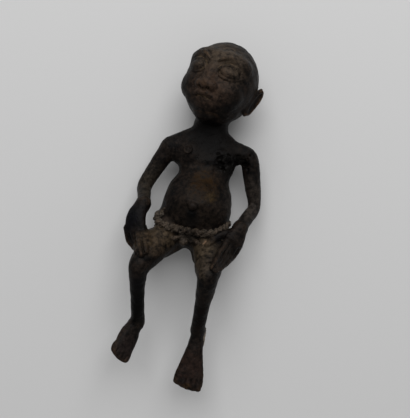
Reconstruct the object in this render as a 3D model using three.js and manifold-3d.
// A seated female figure in cast bronze, lying on its back because it has no stool of its own.
// The wax model of such a casting is put together from rolled, pressed and carved pieces of wax,
// and each of those pieces is one mesh here, set into or against its neighbours with a thin seam.
// Millimetres. X runs to the figure's left, Y up its spine to the head, Z up out of its belly.
import * as THREE from "three";
import { mergeVertices } from "three/addons/utils/BufferGeometryUtils.js";
import Module from "manifold-3d";

const wasm = await Module();
wasm.setup();

// Sizes of the trunk: how far up the spine each level lies, how far its middle stands aside of
// the seat's, its half width, and how deep it is to the front and to the back of the spine line.

const seam = 0.3; // gap in every joint between two pieces
const spineHeight = 14.5; // spine line above the surface that the back lies on

const crotch = { up: 1.5, aside: 0.4, halfWidth: 16.5, front: 10, back: 12.5 };
const buttocks = { up: 6, aside: 0.9, halfWidth: 20, front: 12.5, back: 14 };
const hips = { up: 11, aside: 1.2, halfWidth: 20.7, front: 14.5, back: 14 };
const loins = { up: 17, aside: 0.8, halfWidth: 21.1, front: 17.5, back: 12 };
const belly = { up: 25, aside: 0.8, halfWidth: 20.8, front: 20.5, back: 10 };
const waist = { up: 34, aside: 0.8, halfWidth: 19.1, front: 18, back: 9 };
const ribs = { up: 42, aside: 0.8, halfWidth: 15.6, front: 13, back: 9.5 };
const chest = { up: ribs.up + 8, aside: 0.4, halfWidth: 18.2, front: 12, back: 10.5 };
const shoulders = { up: chest.up + 7.5, aside: -0.9, halfWidth: 24, front: 10, back: 10 };
const neckRoot = { up: shoulders.up + 7, aside: -1.2, halfWidth: 18.5, front: 8.5, back: 9 };
const neck = { up: neckRoot.up + 5.5, aside: -1.6, halfWidth: 11.6, front: 8.5, back: 8.5 };
const neckTop = { up: neck.up + 9, aside: -2, halfWidth: 10, front: 8.5, back: 8 };
const crotchRound = 4.2; // how far the rounded end of the trunk reaches below the crotch
const seatSlope = 47; // degrees that the flat seat leans from the spine line
const seatWall = 1.1; // wax left between the flat seat and the thighs that are set into the trunk
const jointDepth = 4; // how far a thigh or an arm runs on into the trunk, past its own middle

// Sizes of the head. It is built upright round its own centre and then turned on the neck.

const headHeight = 51;
const headWidth = 43.5;
const headDepth = 45;
const headTurn = -20; // degrees, towards the figure's right
const headTilt = -13; // degrees, chin forward and crown back
const headLean = -6; // degrees, crown towards the figure's left
const jawTaper = 0.14; // share of its width that the head loses towards the chin
const headAside = 0.6; // middle of the head from the top of the neck, to the figure's left
const headRise = 19; // middle of the head above the top of the neck

// Sizes of the features. The face is laid out by the usual rule: the eyes halfway up the head,
// the foot of the nose halfway from there to the chin, and the mouth a third further down.

const eyeLine = 0.5;
const noseFoot = 0.27;
const mouthLine = 0.175;
const eyeSpacing = 20.5;
const eyeLength = 12.5;
const eyeOpening = 8.2;
const eyeBulge = 3;
const eyeSlant = 12; // degrees, outer corner up
const lidThread = 1.5;
const browThread = 1.7;
const browRise = 5.2; // above the upper lid
const noseWidth = 13;
const noseReach = 5.2;
const mouthWidth = 18.5;
const lipThickness = 2.6;
const mouthGap = 1.9;
const earHeight = 20;
const earWidth = 8.8;
const earThickness = 3;
const earSpread = 3; // degrees that the ear stands off the head
const headClearance = 0.6; // under the back of the head, which doesn't quite reach the surface
const earLine = 0.41; // middle of the ear, up the head

// Sizes of the trunk's small reliefs

const breastWidth = 10.5;
const breastReach = 2.6;
const nippleWidth = 3.8;
const nippleReach = 1.5;
const breastSpacing = 22;
const breastLevel = 0.7; // share of the way from the chest's level to the shoulders'
const navelWidth = 5.4;
const navelReach = 3;
const navelDrop = 1.5; // below the fullest level of the belly

// Sizes of the waist cords, which lie one under the other and sag below the belly

const cordThickness = 4.2;
const cordTwists = 17;
const cordSide = 17; // up the spine at the flanks
const cordFront = 10; // up the spine under the belly
const stringThickness = 2.3;
const stringGap = 0.5; // between the cord and the string below it
const knotLength = 8;
const knotWidth = 5.8;
const knotEnds = 2.1; // thickness of the cord ends that stick out of the knot
const studWidth = 4.3;
const studReach = 1.9;
const studRise = 0.8; // above the crotch's level

// Sizes of the limbs. Splay is measured from straight down the body towards the side, and rise
// from the surface upwards, both in degrees.

const armRootRadius = 6.2;
const upperArmRadius = 4.9;
const forearmRadius = 4;
const wristRadius = 3.9;
const thighRootRadius = 11;
const thighRadius = 9.6;
const hipSpacing = thighRootRadius * 2 + 2.4;
const hipUp = 9;

// An arm's root lies at the end of the shoulders, or so far above it and beyond it.
const arms = {
  left: { rootRise: 3.4, rootOut: 1.2, elbowAlong: 0.66, elbowOut: 7.2, elbowBack: 10, elbowRadius: 3.8 },
  right: { rootRise: -3, rootOut: -1.7, elbowAlong: 0.69, elbowOut: 4.9, elbowBack: 10, elbowRadius: 4.5 },
};

const legs = {
  left: {
    thighLength: 36,
    thighSplay: 9,
    thighRise: 49,
    kneeRadius: 6.3,
    shinLength: 39,
    shinSplay: 5,
    shinRise: -30,
    shinRadius: 4.4,
    ankleRadius: 4.1,
    footLength: 36.5,
    footSplay: -1.5,
    footRise: 10,
    footRoll: 0,
    footWidth: 17.5,
    longestToe: 3.1, // counted from the great toe, which is 0
  },
  right: {
    thighLength: 40,
    thighSplay: 25,
    thighRise: 42,
    kneeRadius: 5.2,
    shinLength: 39,
    shinSplay: -10,
    shinRise: -29,
    shinRadius: 3.9,
    ankleRadius: 3.8,
    footLength: 25.5,
    footSplay: 11,
    footRise: 34,
    footRoll: -35,
    footWidth: 14,
    longestToe: 0.8,
  },
};

const hands = {
  left: { around: 62, stand: 0, heelStand: 0, curl: 0, thumbSpread: 1, wristOut: 16.4, wristUp: 8.4, wristRise: 10.5 },
  right: { around: 84, stand: 2.4, heelStand: 2.2, curl: 24, thumbSpread: 0.6, wristOut: 18.5, wristUp: 9.6, wristRise: 10.5 },
};
const handWidth = 14;
const handThickness = 6.5;
const fingerRadius = 1.9;
const fingerCount = 4;
const thumbRadius = 2.2;
const toeCount = 5;
const toeArc = 0.016; // share of the foot's length by which the toe tips fall back along their arc
const footThickness = 7.6;
const heelReach = 5.5; // how far the heel stands behind the ankle

const flashWidth = 2.4;
const flashThickness = 0.9;

// Shared shapes

const v = (x, y, z) => new THREE.Vector3(x, y, z);
const rad = THREE.MathUtils.degToRad;
const UP = v(0, 0, 1);

// One direction from its splay and rise, for a limb on the side that sideSign names.
function direction(sideSign, splay, rise) {
  const flat = Math.cos(rad(rise));
  return v(sideSign * Math.sin(rad(splay)) * flat, -Math.cos(rad(splay)) * flat, Math.sin(rad(rise)));
}

// A body of rounded sections strung along a smooth line. A station holds the middle of a section
// (at), its half width, and its depths to the front and back. Angles on the skin run from 0 at the
// side through 90 degrees at the front.
class Loft {
  constructor(stations, options = {}) {
    const { front = UP, around = 20, between = 2, startDome = 0, endDome = 0, fullness = 2 } = options;
    const { domeRings = 2 } = options;
    Object.assign(this, { front, around, startDome, endDome, fullness, domeRings });
    this.steps = (stations.length - 1) * between;
    this.line = new THREE.CatmullRomCurve3(stations.map((s) => s.at), false, "catmullrom", 0.5);
    const sizes = stations.map((s) => v(s.halfWidth, s.front ?? s.halfWidth, s.back ?? s.front ?? s.halfWidth));
    this.sizes = new THREE.CatmullRomCurve3(sizes, false, "catmullrom", 0.5);
  }

  // The section at u, which runs from 0 at the first station to 1 at the last.
  section(u) {
    const tangent = this.line.getTangent(u);
    const side = v(0, 0, 0).crossVectors(tangent, this.front).normalize();
    const front = v(0, 0, 0).crossVectors(side, tangent).normalize();
    const size = this.sizes.getPoint(u);
    return { middle: this.line.getPoint(u), tangent, side, front, size };
  }

  rim(section, angle, lift, share) {
    const power = 2 / this.fullness;
    const c = Math.cos(angle);
    const s = Math.sin(angle);
    const depth = s >= 0 ? section.size.y : section.size.z;
    const across = Math.sign(c) * Math.abs(c) ** power * (section.size.x + lift) * share;
    const out = Math.sign(s) * Math.abs(s) ** power * (depth + lift) * share;
    return section.middle.clone().addScaledVector(section.side, across).addScaledVector(section.front, out);
  }

  // A point on the skin, or lifted off it.
  point(u, degrees, lift = 0) {
    return this.rim(this.section(u), rad(degrees), lift, 1);
  }

  // The direction straight out of the skin.
  outward(u, degrees) {
    const step = 0.01;
    const along = this.point(Math.min(1, u + step), degrees).sub(this.point(Math.max(0, u - step), degrees));
    const round = this.point(u, degrees + 1).sub(this.point(u, degrees - 1));
    return along.cross(round).normalize();
  }

  geometry(grow = 0) {
    const rings = [];
    const dome = (section, length, way) => {
      const tip = length + grow;
      const made = [];
      for (let k = length > 0 ? this.domeRings : 0; k > 0; k--) {
        const turn = (k / (this.domeRings + 1)) * (Math.PI / 2);
        const moved = { ...section, middle: section.middle.clone().addScaledVector(section.tangent, way * tip * Math.sin(turn)) };
        made.push([moved, Math.cos(turn)]);
      }
      return made;
    };
    const first = this.section(0);
    const last = this.section(1);
    rings.push(...dome(first, this.startDome, -1));
    if (!this.startDome) first.middle.addScaledVector(first.tangent, -grow);
    for (let i = 0; i <= this.steps; i++) {
      const section = i === 0 ? first : this.section(i / this.steps);
      if (i === this.steps && !this.endDome) section.middle.addScaledVector(section.tangent, grow);
      rings.push([section, 1]);
    }
    rings.push(...dome(last, this.endDome, 1).reverse());
    const startTip = this.section(0).middle.addScaledVector(first.tangent, -this.startDome - grow);
    const endTip = this.section(1).middle.addScaledVector(last.tangent, this.endDome + grow);
    const points = rings.flatMap(([section, share]) =>
      Array.from({ length: this.around }, (_, j) => this.rim(section, (j / this.around) * 2 * Math.PI, grow, share)),
    );
    return skinOf(points, this.around, [startTip, endTip]);
  }
}

// Joins rings of points into a closed skin: with a tip at each end, or end to end if tips is null.
function skinOf(points, around, tips) {
  const rings = points.length / around;
  const faces = [];
  const at = (i, j) => (i % rings) * around + (j % around);
  for (let i = 0; i < (tips ? rings - 1 : rings); i++)
    for (let j = 0; j < around; j++) {
      faces.push(at(i, j), at(i + 1, j), at(i + 1, j + 1));
      faces.push(at(i, j), at(i + 1, j + 1), at(i, j + 1));
    }
  if (tips)
    for (let j = 0; j < around; j++) {
      faces.push(points.length, at(0, j), at(0, j + 1));
      faces.push(points.length + 1, at(rings - 1, j + 1), at(rings - 1, j));
    }
  const all = tips ? [...points, ...tips] : points;
  const geometry = new THREE.BufferGeometry().setFromPoints(all);
  geometry.setIndex(faces);
  return geometry;
}

// A thread whose ends meet. The line gives a point and the way out of the surface it lies on, for
// a share from 0 to 1, and radius may depend on the share and on the angle round the thread.
function closedThread(line, steps, around, radius) {
  const points = [];
  for (let i = 0; i < steps; i++) {
    const share = i / steps;
    const { at, out } = line(share);
    const ahead = line((share + 0.5 / steps) % 1).at;
    const behind = line((share - 0.5 / steps + 1) % 1).at;
    const tangent = ahead.sub(behind).normalize();
    const side = v(0, 0, 0).crossVectors(tangent, out).normalize();
    const front = v(0, 0, 0).crossVectors(side, tangent);
    for (let j = 0; j < around; j++) {
      const angle = (j / around) * 2 * Math.PI;
      const r = radius(share, angle);
      points.push(at.clone().addScaledVector(side, r * Math.cos(angle)).addScaledVector(front, r * Math.sin(angle)));
    }
  }
  return skinOf(points, around, null);
}

// An egg-shaped lump with its own half lengths along X, Y and Z.
function lump(halfX, halfY, halfZ, around = 14) {
  return new THREE.SphereGeometry(1, around, Math.round(around * 0.6)).scale(halfX, halfY, halfZ);
}

function solid(geometry) {
  const bare = geometry.clone();
  bare.deleteAttribute("normal");
  bare.deleteAttribute("uv");
  const merged = mergeVertices(bare, 1e-4);
  const mesh = new wasm.Mesh({
    numProp: 3,
    vertProperties: new Float32Array(merged.attributes.position.array),
    triVerts: new Uint32Array(merged.index.array),
  });
  return new wasm.Manifold(mesh);
}

const join = (first, ...others) => others.reduce((sum, other) => sum.add(other), first);
const cut = (first, ...others) => others.reduce((rest, other) => rest.subtract(other), first);

// The largest body of a solid, without the slivers that a cut can leave beside it.
function mainBody(shape) {
  return shape.decompose().reduce((best, body) => (body.volume() > best.volume() ? body : best));
}

function meshOf(name, shape, material) {
  const { vertProperties, triVerts } = mainBody(shape).getMesh();
  const geometry = new THREE.BufferGeometry();
  geometry.setAttribute("position", new THREE.BufferAttribute(new Float32Array(vertProperties), 3));
  geometry.setIndex(new THREE.BufferAttribute(new Uint32Array(triVerts), 1));
  const mesh = new THREE.Mesh(geometry, material);
  mesh.name = name;
  return mesh;
}

const bronze = (color, roughness) => new THREE.MeshStandardMaterial({ color, roughness, metalness: 0.75 });

// Trunk and neck, one core of wax from the seat to the inside of the head

const trunkLevels = [crotch, buttocks, hips, loins, belly, waist, ribs, chest, shoulders, neckRoot, neck, neckTop];
const trunk = new Loft(
  trunkLevels.map((level) => ({ ...level, at: v(level.aside, level.up, spineHeight) })),
  { around: 26, fullness: 2.15, startDome: crotchRound, domeRings: 3 },
);

// The share along the trunk that lies a given way up the spine.
function trunkShare(up) {
  let low = 0;
  let high = 1;
  for (let k = 0; k < 24; k++) {
    const middle = (low + high) / 2;
    if (trunk.line.getPoint(middle).y < up) low = middle;
    else high = middle;
  }
  return (low + high) / 2;
}

// Legs: one roll each from inside the hip over the knee to the ankle

function legOf(sideSign, size) {
  const hip = v((sideSign * hipSpacing) / 2 + crotch.aside, hipUp, spineHeight);
  const thighWay = direction(sideSign, size.thighSplay, size.thighRise);
  const shinWay = direction(sideSign, size.shinSplay, size.shinRise);
  const knee = hip.clone().addScaledVector(thighWay, size.thighLength);
  const ankle = knee.clone().addScaledVector(shinWay, size.shinLength);
  const onThigh = (share) => hip.clone().addScaledVector(thighWay, size.thighLength * share);
  const onShin = (share) => knee.clone().addScaledVector(shinWay, size.shinLength * share);
  const stations = [
    { at: onThigh(0), halfWidth: thighRootRadius },
    { at: onThigh(0.4), halfWidth: thighRadius },
    { at: onThigh(0.8), halfWidth: (thighRadius + size.kneeRadius) / 2 },
    { at: onThigh(0.99), halfWidth: size.kneeRadius },
    { at: onShin(0.25), halfWidth: (size.kneeRadius + size.shinRadius) / 2 },
    { at: onShin(0.55), halfWidth: size.shinRadius },
    { at: onShin(1), halfWidth: size.ankleRadius },
  ];
  const roll = new Loft(stations, { around: 16, startDome: jointDepth, endDome: size.ankleRadius * 0.6 });
  return { roll, hip, ankle };
}

// Feet: a wedge from the heel to the toes, with the toes pressed onto its end

function footOf(sideSign, size, leg) {
  const way = direction(sideSign, size.footSplay, size.footRise);
  const sole = v(0, 0, 0).crossVectors(v(1, 0, 0), way).normalize();
  const instep = sole.applyAxisAngle(way, rad(size.footRoll)).negate();
  const middle = leg.ankle.clone().addScaledVector(instep, -footThickness * 0.35);
  const along = (share) => middle.clone().addScaledVector(way, size.footLength * share);
  const half = footThickness / 2;
  const stations = [
    { at: middle.clone().addScaledVector(way, -heelReach * 0.6), halfWidth: size.ankleRadius * 0.9, front: half, back: half },
    { at: along(0), halfWidth: size.ankleRadius * 0.92, front: half * 1.15, back: half },
    { at: along(0.3), halfWidth: size.footWidth * 0.3, front: half * 1.05, back: half * 0.8 },
    { at: along(0.62), halfWidth: size.footWidth * 0.44, front: half * 0.75, back: half * 0.75 },
    { at: along(0.82), halfWidth: size.footWidth * 0.48, front: half * 0.55, back: half * 0.65 },
  ];
  const wedge = new Loft(stations, { front: instep, around: 16, startDome: heelReach * 0.4, endDome: half * 0.5, fullness: 2.3 });
  const pitch = size.footWidth / toeCount;
  const toes = Array.from({ length: toeCount }, (_, k) => {
    const across = (k - (toeCount - 1) / 2) * pitch;
    const fromGreatToe = sideSign > 0 ? toeCount - 1 - k : k;
    const radius = pitch * (fromGreatToe === 0 ? 0.6 : 0.54);
    const side = v(0, 0, 0).crossVectors(way, instep).normalize();
    const reach = size.footLength * (1 - toeArc * (fromGreatToe - size.longestToe) ** 2) - radius;
    const root = along(0.72).addScaledVector(side, across * 0.86);
    const tip = middle.clone().addScaledVector(way, reach).addScaledVector(side, across * 0.93);
    return new Loft([{ at: root, halfWidth: radius }, { at: tip, halfWidth: radius }], {
      front: instep,
      around: 8,
      between: 1,
      startDome: radius,
      endDome: radius,
      domeRings: 1,
    });
  });
  return { wedge, toes };
}

// Hands: laid over the outer side of the thigh, fingers towards the knee

function handOf(sideSign, size, leg) {
  const skin = (share, inwards, lift) => leg.roll.point(share, 90 + sideSign * (size.around - inwards), lift);
  const out = leg.roll.outward(0.26, 90 + sideSign * size.around);
  const wrist = leg.hip.clone().add(v(sideSign * size.wristOut, size.wristUp, size.wristRise));
  const heel = skin(0.14, 0, handThickness * 0.75 + size.stand + size.heelStand);
  const knuckles = skin(0.27, 2, handThickness * 0.4 + size.stand);
  const stations = [
    { at: wrist, halfWidth: wristRadius, front: wristRadius * 0.9 },
    { at: wrist.clone().lerp(heel, 0.5), halfWidth: handWidth * 0.36, front: handThickness * 0.6 },
    { at: heel, halfWidth: handWidth * 0.5, front: handThickness * 0.62 },
    { at: knuckles, halfWidth: handWidth * 0.52, front: handThickness * 0.5 },
  ];
  const palm = new Loft(stations, { front: out, around: 14, startDome: wristRadius * 0.4, endDome: handThickness * 0.45, fullness: 2.3 });
  const fingers = Array.from({ length: fingerCount }, (_, k) => {
    const fan = (k - (fingerCount - 1) / 2) / (fingerCount - 1);
    const bend = 0.02 * Math.abs(fan) + 0.08 * Math.max(0, fan);
    return new Loft(
      [
        { at: skin(0.24 - bend, 2 - fan * 62, fingerRadius * 1.2 + size.stand), halfWidth: fingerRadius * 1.1 },
        { at: skin(0.34 - bend, 14 - fan * 60 + size.curl * 0.6, fingerRadius * 1.15), halfWidth: fingerRadius },
        { at: skin(0.43 - bend, 26 - fan * 56 + size.curl, fingerRadius * 0.75), halfWidth: fingerRadius * 0.85 },
      ],
      { front: out, around: 8, between: 1, startDome: fingerRadius, endDome: fingerRadius, domeRings: 1 },
    );
  });
  const thumb = new Loft(
    [
      { at: skin(0.11, 20 * size.thumbSpread, handThickness * 0.7 + size.stand), halfWidth: thumbRadius * 1.15 },
      { at: skin(0.17, 38 * size.thumbSpread, thumbRadius * 1.3 + size.stand), halfWidth: thumbRadius },
      { at: skin(0.24, 54 * size.thumbSpread, thumbRadius * 0.85), halfWidth: thumbRadius * 0.85 },
    ],
    { front: out, around: 8, between: 1, startDome: thumbRadius, endDome: thumbRadius, domeRings: 1 },
  );
  return { palm, fingers, thumb, wrist };
}

// Arms: one roll each from inside the shoulder over the elbow to the wrist

function armOf(sideSign, size, hand) {
  const rootReach = shoulders.halfWidth - armRootRadius + size.rootOut;
  const root = v(shoulders.aside + sideSign * rootReach, shoulders.up + size.rootRise, spineHeight);
  const cap = root.clone().add(v(sideSign * armRootRadius * 1.13, -armRootRadius * 0.4, 0));
  const elbow = cap.clone().lerp(hand.wrist, size.elbowAlong);
  elbow.x += sideSign * size.elbowOut;
  elbow.z -= size.elbowBack;
  const stations = [
    { at: root, halfWidth: armRootRadius },
    { at: cap, halfWidth: armRootRadius * 0.93 },
    { at: cap.clone().lerp(elbow, 0.55).add(v(sideSign * upperArmRadius * 0.12, 0, 0)), halfWidth: upperArmRadius },
    { at: elbow, halfWidth: size.elbowRadius },
    { at: elbow.clone().lerp(hand.wrist, 0.5).add(v(0, -forearmRadius * 0.12, 0)), halfWidth: forearmRadius },
    { at: hand.wrist, halfWidth: wristRadius },
  ];
  return new Loft(stations, { around: 14, startDome: jointDepth * 0.75, endDome: wristRadius * 0.3 });
}

// Head: an egg of wax turned on the neck. Its own frame has the crown along Y and the face along Z.

const crown = headHeight / 2;
const headStations = 9;
const polarGap = 12; // degrees left open at crown and chin, closed by a cap
const headShell = new Loft(
  Array.from({ length: headStations }, (_, k) => {
    const angle = rad(-90 + polarGap + ((180 - 2 * polarGap) * k) / (headStations - 1));
    const up = Math.sin(angle);
    const jaw = 1 - jawTaper * Math.max(0, -up) ** 1.3;
    const round = Math.cos(angle) ** 0.94;
    return {
      at: v(0, crown * up, 0),
      halfWidth: (headWidth / 2) * round * jaw,
      front: (headDepth / 2) * round * 0.96 * jaw ** 0.4,
      back: (headDepth / 2) * round * (1 + 0.05 * up),
    };
  }),
  { around: 26, startDome: crown * 0.02, endDome: crown * 0.02, fullness: 2.1, domeRings: 0 },
);

const headGroup = new THREE.Group();
headGroup.rotation.set(rad(headTilt), rad(headTurn), rad(headLean), "YXZ");
headGroup.position.set(neckTop.aside + headAside, neckTop.up + headRise, headDepth / 2 + headClearance);
headGroup.updateMatrix();
const intoHead = headGroup.matrix.clone().invert();

// How far up the head a share of its height lies, from the chin.
const faceUp = (share) => (share - 0.5) * headHeight;

// A point on the face, straight in front of a place to the side of the middle and up the head.
function onFace(x, y, lift = 0) {
  let low = 0;
  let high = 1;
  for (let k = 0; k < 24; k++) {
    const middle = (low + high) / 2;
    if (headShell.line.getPoint(middle).y < y) low = middle;
    else high = middle;
  }
  const size = headShell.sizes.getPoint((low + high) / 2);
  const across = Math.min(0.98, Math.abs(x / size.x)) ** headShell.fullness;
  return v(x, y, size.y * (1 - across) ** (1 / headShell.fullness) + lift);
}

const headSkin = solid(headShell.geometry(seam));
const neckInHead = solid(trunk.geometry(seam).applyMatrix4(intoHead));

// The way out of the face at a place on it.
function faceOut(x, y) {
  const step = 0.4;
  const across = onFace(x + step, y).sub(onFace(x - step, y));
  const along = onFace(x, y + step).sub(onFace(x, y - step));
  return across.cross(along).normalize();
}

const mouthUp = faceUp(mouthLine);
const mouthHollow = solid(
  lump(mouthWidth * 0.4, mouthGap * 0.62, lipThickness * 1.15).translate(0, mouthUp, onFace(0, mouthUp).z),
);
const head = cut(solid(headShell.geometry()), neckInHead, mouthHollow);

// Eyes: a pressed lens in each socket, with a thread of wax laid round it as the lids

function eyeFrame(sideSign) {
  const x = (sideSign * eyeSpacing) / 2;
  const y = faceUp(eyeLine);
  const out = faceOut(x, y);
  const slant = rad(sideSign * eyeSlant);
  const level = v(Math.cos(slant), Math.sin(slant), 0);
  const across = level.sub(out.clone().multiplyScalar(level.dot(out))).normalize();
  const along = v(0, 0, 0).crossVectors(out, across);
  return { at: onFace(x, y), out, across, along };
}

function eyeballOf(sideSign) {
  const { at, out, across, along } = eyeFrame(sideSign);
  const lens = lump(eyeLength / 2 - lidThread * 0.45, eyeOpening / 2 - lidThread * 0.35, eyeBulge);
  lens.applyMatrix4(new THREE.Matrix4().makeBasis(across, along, out).setPosition(at));
  return lens;
}

function lidLine(sideSign) {
  const { at, out, across, along } = eyeFrame(sideSign);
  return (share) => {
    const turn = share * 2 * Math.PI;
    const x = (eyeLength / 2 + lidThread * 0.35) * Math.cos(turn);
    const y = (eyeOpening / 2 + lidThread * 0.35) * Math.sin(turn) * (1 - 0.14 * Math.cos(turn) ** 2);
    const flat = at.clone().addScaledVector(across, x).addScaledVector(along, y);
    return { at: onFace(flat.x, flat.y, lidThread * 0.25), out };
  };
}

// Brows: an arched thread over each eye, running down to the root of the nose

function browOf(sideSign) {
  const places = [
    [0.13, -0.35],
    [0.3, 0.4],
    [0.52, 0.82],
    [0.78, 0.72],
    [0.98, 0.2],
  ];
  const span = eyeSpacing / 2 + eyeLength / 2;
  const base = faceUp(eyeLine) + eyeOpening / 2;
  const stations = places.map(([across, rise], k) => ({
    at: onFace(sideSign * span * across, base + browRise * rise, browThread * 0.2),
    halfWidth: (browThread / 2) * (k === 0 || k === places.length - 1 ? 0.65 : 1),
  }));
  return new Loft(stations, { around: 7, startDome: browThread * 0.3, endDome: browThread * 0.3, domeRings: 1 });
}

// Nose: a wedge of wax that widens to the nostrils

function noseParts() {
  const root = faceUp(eyeLine) + noseWidth * 0.08;
  const foot = faceUp(noseFoot);
  const at = (share, lift) => onFace(0, root + (foot - root) * share, lift * noseReach);
  const back = noseReach * 0.4;
  const bridge = new Loft(
    [
      { at: at(0, -0.2), halfWidth: noseWidth * 0.14, front: noseReach * 0.3, back },
      { at: at(0.45, -0.15), halfWidth: noseWidth * 0.21, front: noseReach * 0.55, back },
      { at: at(0.85, -0.12), halfWidth: noseWidth * 0.33, front: noseReach * 0.95, back },
      { at: at(1, -0.08), halfWidth: noseWidth * 0.3, front: noseReach * 0.8, back },
    ],
    { around: 12, startDome: noseReach * 0.2, endDome: noseReach * 0.2 },
  );
  const wings = [-1, 1].map((sideSign) => {
    const place = onFace(sideSign * noseWidth * 0.31, foot + noseWidth * 0.09, noseReach * 0.18);
    return lump(noseWidth * 0.2, noseWidth * 0.19, noseReach * 0.5, 10).translate(place.x, place.y, place.z);
  });
  return [bridge.geometry(), ...wings];
}

// Lips: two bands of wax that part in the middle and meet at the corners

function lipOf(way) {
  const places = [-1, -0.72, -0.36, 0, 0.36, 0.72, 1];
  const stations = places.map((across) => {
    const open = 1 - across ** 2;
    const up = way * (lipThickness * 0.28 + (mouthGap / 2 + lipThickness * 0.22) * open);
    const cornerRise = 0.5 * across ** 2;
    return {
      at: onFace((across * mouthWidth) / 2, mouthUp + up + cornerRise, lipThickness * (0.05 + 0.35 * open)),
      halfWidth: (lipThickness / 2) * (0.55 + 0.45 * open),
    };
  });
  return new Loft(stations, { around: 8, startDome: lipThickness * 0.2, endDome: lipThickness * 0.2, domeRings: 1 });
}

// Ears: a cupped leaf that runs back from its root on each side of the head, hollow on the outside

function earParts(sideSign) {
  const share = Math.asin((earLine - 0.5) * 2) / rad(180 - 2 * polarGap) + 0.5;
  const side = sideSign > 0 ? 0 : 180;
  const out = headShell.outward(share, side);
  const up = v(0, 1, 0).addScaledVector(out, -out.y).normalize();
  const back = v(0, 0, 0).crossVectors(up, out).multiplyScalar(sideSign);
  back.applyAxisAngle(up, -sideSign * rad(earSpread));
  out.applyAxisAngle(up, -sideSign * rad(earSpread));
  const at = headShell.point(share, side, -earThickness * 0.2).addScaledVector(back, headDepth * 0.06);
  const place = new THREE.Matrix4().makeBasis(back, v(0, 0, 0).crossVectors(out, back), out).setPosition(at);
  const leaf = lump(earWidth / 2, earHeight / 2, earThickness / 2, 18).translate(earWidth * 0.3, 0, 0);
  const cup = lump(earWidth * 0.3, earHeight * 0.34, earThickness * 0.42, 12);
  cup.translate(earWidth * 0.36, 0, earThickness * 0.45);
  return { leaf: leaf.applyMatrix4(place), cup: cup.applyMatrix4(place) };
}

// Waist cords: closed rings on the trunk's skin that sag from the flanks to under the belly

function waistLine(drop, lift) {
  return (share) => {
    const degrees = share * 360;
    const front = Math.max(0, Math.sin(rad(degrees)));
    const up = cordSide + (cordFront - cordSide) * front ** 1.5 - drop;
    const u = trunkShare(up);
    return { at: trunk.point(u, degrees, lift), out: trunk.outward(u, degrees) };
  };
}

function cordRadius(share, angle) {
  const strands = 2;
  const swell = 0.16;
  return (cordThickness / 2) * (1 - swell + swell * Math.cos(strands * angle + share * cordTwists * 2 * Math.PI));
}

// Solids of the limbs, with the room that each leaves in its neighbours

const limbs = Object.fromEntries(
  ["left", "right"].map((name) => {
    const sideSign = name === "left" ? 1 : -1;
    const leg = legOf(sideSign, legs[name]);
    const foot = footOf(sideSign, legs[name], leg);
    const hand = handOf(sideSign, hands[name], leg);
    const arm = armOf(sideSign, arms[name], hand);
    const legRoom = solid(leg.roll.geometry(seam));
    const armRoom = solid(arm.geometry(seam));
    return [name, { sideSign, leg, foot, hand, arm, legRoom, armRoom }];
  }),
);

const { left, right } = limbs;
// The flat seat is a slice off the buttocks, level with the undersides of the thighs.
const sliceDepth = hips.halfWidth * 2;
const seatSlice = new THREE.BoxGeometry(hips.halfWidth * 4, sliceDepth, sliceDepth)
  .translate(0, -sliceDepth / 2 - thighRootRadius - seam - seatWall, 0)
  .rotateX(rad(90 - seatSlope))
  .translate(0, hipUp, spineHeight);

const trunkRoom = solid(trunk.geometry(seam));
const trunkSolid = cut(
  solid(trunk.geometry()),
  solid(seatSlice),
  left.legRoom,
  right.legRoom,
  left.armRoom,
  right.armRoom,
);

const cordLift = cordThickness * 0.2;
const cordLine = waistLine(0, cordLift);
const stringLine = waistLine((cordThickness + stringThickness) / 2 + stringGap, stringThickness * 0.2);
const plainCord = (radius) => () => radius;
const cordRoom = solid(closedThread(cordLine, 48, 8, plainCord(cordThickness / 2 + seam)));
const stringRoom = solid(closedThread(stringLine, 48, 8, plainCord(stringThickness / 2 + seam)));
const cordSolid = cut(
  solid(closedThread(cordLine, cordTwists * 5, 8, cordRadius)),
  trunkRoom,
  left.legRoom,
  right.legRoom,
);
const stringSolid = cut(
  solid(closedThread(stringLine, 48, 6, plainCord(stringThickness / 2))),
  trunkRoom,
  cordRoom,
  left.legRoom,
  right.legRoom,
);

// Assembly

const darkBronze = bronze(0x2a221d, 0.5);
const warmBronze = bronze(0x3a2a1e, 0.45);
const crustedBronze = bronze(0x3b3128, 0.75);

const figure = new THREE.Group();
figure.name = "seated_figure";
figure.add(meshOf("torso", trunkSolid, darkBronze));

// A lump seated on the trunk's skin, which comes straight out of it.
function onTrunk(up, degrees, width, reach) {
  const u = trunkShare(up);
  const out = trunk.outward(u, degrees);
  const at = trunk.point(u, degrees);
  const turn = new THREE.Matrix4().lookAt(out, v(0, 0, 0), v(0, 1, 0)).setPosition(at);
  return solid(lump(width / 2, width / 2, reach, 12).applyMatrix4(turn));
}

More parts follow.
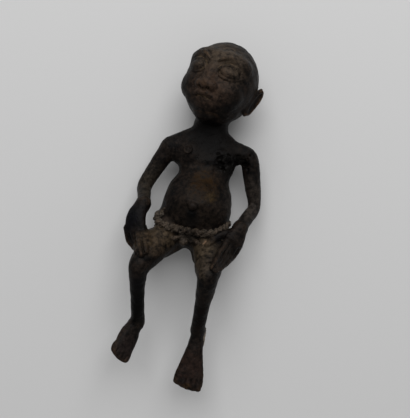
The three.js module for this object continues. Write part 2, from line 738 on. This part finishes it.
for (const [name, limb] of Object.entries(limbs)) {
  const { sideSign, leg, foot, hand, arm, legRoom, armRoom } = limb;
  const legSolid = solid(leg.roll.geometry());
  const footSolid = join(solid(foot.wedge.geometry()), ...foot.toes.map((toe) => solid(toe.geometry())));
  const handSolid = join(
    solid(hand.palm.geometry()),
    solid(hand.thumb.geometry()),
    ...hand.fingers.map((finger) => solid(finger.geometry())),
  );
  figure.add(meshOf(`leg_${name}`, legSolid, darkBronze));
  figure.add(meshOf(`foot_${name}`, cut(footSolid, legRoom), darkBronze));
  figure.add(meshOf(`arm_${name}`, solid(arm.geometry()), darkBronze));
  figure.add(meshOf(`hand_${name}`, cut(handSolid, legRoom, armRoom, trunkRoom, cordRoom, stringRoom), crustedBronze));

  const across = Math.min(0.9, breastSpacing / 2 / chest.halfWidth) ** (trunk.fullness / 2);
  const degrees = 90 - sideSign * THREE.MathUtils.radToDeg(Math.asin(across));
  const bust = chest.up + (shoulders.up - chest.up) * breastLevel;
  const mound = onTrunk(bust, degrees, breastWidth, breastReach);
  const nipple = onTrunk(bust, degrees, nippleWidth, breastReach + nippleReach);
  figure.add(meshOf(`breast_${name}`, cut(join(mound, nipple), trunkRoom, armRoom), darkBronze));

  const { leaf, cup } = earParts(sideSign);
  headGroup.add(meshOf(`ear_${name}`, cut(solid(leaf), solid(cup), headSkin), darkBronze));
  const ball = solid(eyeballOf(sideSign));
  const lidRoom = solid(closedThread(lidLine(sideSign), 24, 6, plainCord(lidThread / 2 + seam)));
  const lid = solid(closedThread(lidLine(sideSign), 26, 6, plainCord(lidThread / 2)));
  headGroup.add(meshOf(`eyeball_${name}`, cut(ball, headSkin, lidRoom), warmBronze));
  headGroup.add(meshOf(`eyelids_${name}`, cut(lid, headSkin), darkBronze));
  headGroup.add(meshOf(`brow_${name}`, cut(solid(browOf(sideSign).geometry()), headSkin, lidRoom), darkBronze));
}

const navel = onTrunk(belly.up - navelDrop, 94, navelWidth, navelReach);
figure.add(meshOf("navel", cut(navel, trunkRoom), darkBronze));

const stud = onTrunk(crotch.up + studRise, 90, studWidth, studReach);
figure.add(meshOf("stud", cut(stud, trunkRoom, stringRoom, left.legRoom, right.legRoom), darkBronze));

// The knot of the cord stands on the figure's right flank, with its two short ends.
const knotTurn = 160;
const knotShare = trunkShare(cordSide - knotLength * 0.3);
const knotOut = trunk.outward(knotShare, knotTurn);
const knotSpot = trunk.point(knotShare, knotTurn, cordThickness * 0.5);
const knotPlace = new THREE.Matrix4().lookAt(knotOut, v(0, 0, 0), v(0, 1, 0)).setPosition(knotSpot);
const knotLoop = lump(knotWidth / 2, knotLength / 2, knotWidth * 0.42, 14);
const knotTail = (turn) =>
  lump(knotEnds / 2, knotLength * 0.34, knotEnds / 2, 8).translate(0, knotLength * 0.36, knotWidth * 0.2).rotateZ(turn);
const knotParts = [knotLoop, knotTail(0.5), knotTail(-2.2)].map((part) => solid(part.applyMatrix4(knotPlace)));
const knotRoom = [trunkRoom, cordRoom, stringRoom, right.armRoom, right.legRoom];
figure.add(meshOf("cord_knot", cut(join(...knotParts), ...knotRoom), crustedBronze));
figure.add(meshOf("waist_cord", cordSolid, crustedBronze));
figure.add(meshOf("waist_string", stringSolid, crustedBronze));

// A thin fin of bronze that ran into the joint of the mould, left along the outside of the left foot
const finLine = [0.16, 0.32, 0.48].map((share) => left.foot.wedge.point(share, 180, -flashThickness * 0.2));
const fin = new Loft(
  finLine.map((at, k) => ({ at, halfWidth: flashWidth / 2, front: (flashThickness / 2) * (k === 1 ? 1 : 0.6) })),
  { front: left.foot.wedge.front, around: 8, startDome: flashThickness, endDome: flashThickness, domeRings: 1 },
);
const finRoom = [solid(left.foot.wedge.geometry(seam)), left.legRoom];
figure.add(meshOf("casting_flash", cut(solid(fin.geometry()), ...finRoom), crustedBronze));

const noseSolid = join(...noseParts().map(solid));
const upperLip = solid(lipOf(1).geometry());
const lowerLip = solid(lipOf(-1).geometry());
headGroup.add(meshOf("head", head, warmBronze));
headGroup.add(meshOf("nose", cut(noseSolid, headSkin), warmBronze));
headGroup.add(meshOf("lip_upper", cut(upperLip, headSkin), warmBronze));
headGroup.add(meshOf("lip_lower", cut(lowerLip, headSkin), warmBronze));
figure.add(headGroup);

// The origin is the middle of the figure's footprint, on the surface it lies on.
const box = new THREE.Box3().setFromObject(figure, true);
figure.position.set(-(box.min.x + box.max.x) / 2, -(box.min.y + box.max.y) / 2, -box.min.z);

export default figure;
